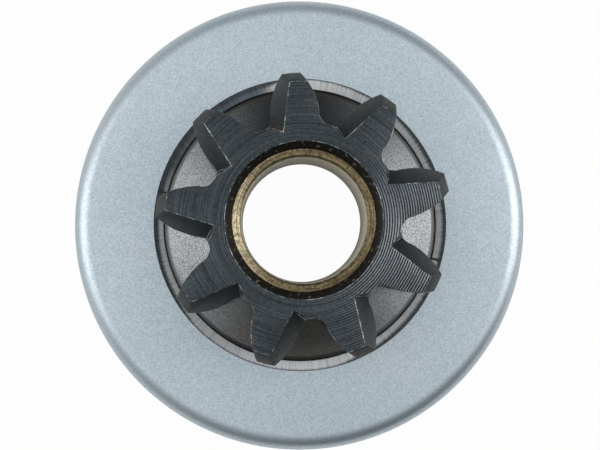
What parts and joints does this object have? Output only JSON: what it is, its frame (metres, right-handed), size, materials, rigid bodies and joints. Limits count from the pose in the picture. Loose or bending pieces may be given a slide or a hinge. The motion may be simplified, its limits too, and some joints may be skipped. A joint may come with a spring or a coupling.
{
  "type": "starter drive",
  "caption": "Starter drive: a toothed pinion on a one-way roller clutch in a zinc-plated cover, with a splined sleeve, meshing spring and shift collar.",
  "frame": {"origin": "on the axis, at the rear end of the splined sleeve", "axes": "+Z along the axis, towards the pinion's nose; +X and +Y square to it"},
  "size_m": [0.051, 0.051, 0.0657],
  "materials": {
    "hardened_steel": "dark hardened steel, turned on the nose face and shot-blasted on the flange",
    "turned_steel": "turned and lightly oiled",
    "roller_steel": "ground",
    "spring_steel": "oil-tempered",
    "zinc_sheet": "blue-white zinc plate on drawn sheet, satin",
    "bronze": "sintered bronze, bored",
    "felt": "pressed felt soaked with grease"
  },
  "bodies": {
    "drive": {"clutch_shell": "turned_steel", "clutch_cover": "zinc_sheet", "spline_sleeve": "turned_steel", "seal_washer": "felt", "thrust_washer": "bronze", "split_washer_a": "spring_steel", "split_washer_b": "spring_steel", "snap_ring": "spring_steel", "meshing_spring": "spring_steel", "roller_spring_1": "spring_steel", "roller_spring_2": "spring_steel", "roller_spring_3": "spring_steel", "roller_spring_4": "spring_steel", "roller_spring_5": "spring_steel"},
    "pinion_group": {"pinion": "hardened_steel", "front_bush": "bronze"},
    "collar": {"shift_collar": "turned_steel", "collar_plate": "zinc_sheet"},
    "roller_body_1": {"roller_1": "roller_steel"},
    "roller_body_2": {"roller_2": "roller_steel"},
    "roller_body_3": {"roller_3": "roller_steel"},
    "roller_body_4": {"roller_4": "roller_steel"},
    "roller_body_5": {"roller_5": "roller_steel"}
  },
  "joints": [
    {"name": "pinion_overrun", "type": "hinge", "parent": "drive", "child": "pinion_group", "pos_m": [0, 0, 0.036], "axis": [0, 0, 1], "continuous": true},
    {"name": "collar_slide", "type": "slide", "parent": "drive", "child": "collar", "axis": [0, 0, 1], "range_m": [0, 0.006], "stiffness_N_per_m": 2500, "springref_m": -0.004, "deforming": ["meshing_spring"]},
    {"name": "roller_spin_1", "type": "hinge", "parent": "drive", "child": "roller_body_1", "pos_m": [0.01391, 0.00506, 0.035], "axis": [0, 0, 1], "continuous": true},
    {"name": "roller_spin_2", "type": "hinge", "parent": "drive", "child": "roller_body_2", "pos_m": [-0.00052, 0.01479, 0.035], "axis": [0, 0, 1], "continuous": true},
    {"name": "roller_spin_3", "type": "hinge", "parent": "drive", "child": "roller_body_3", "pos_m": [-0.01423, 0.00408, 0.035], "axis": [0, 0, 1], "continuous": true},
    {"name": "roller_spin_4", "type": "hinge", "parent": "drive", "child": "roller_body_4", "pos_m": [-0.00828, -0.01227, 0.035], "axis": [0, 0, 1], "continuous": true},
    {"name": "roller_spin_5", "type": "hinge", "parent": "drive", "child": "roller_body_5", "pos_m": [0.00911, -0.01166, 0.035], "axis": [0, 0, 1], "continuous": true}
  ],
  "couplings": [
    {"joint": "roller_spin_1", "follows": "pinion_overrun", "ratio": -3.5385},
    {"joint": "roller_spin_2", "follows": "pinion_overrun", "ratio": -3.5385},
    {"joint": "roller_spin_3", "follows": "pinion_overrun", "ratio": -3.5385},
    {"joint": "roller_spin_4", "follows": "pinion_overrun", "ratio": -3.5385},
    {"joint": "roller_spin_5", "follows": "pinion_overrun", "ratio": -3.5385}
  ]
}
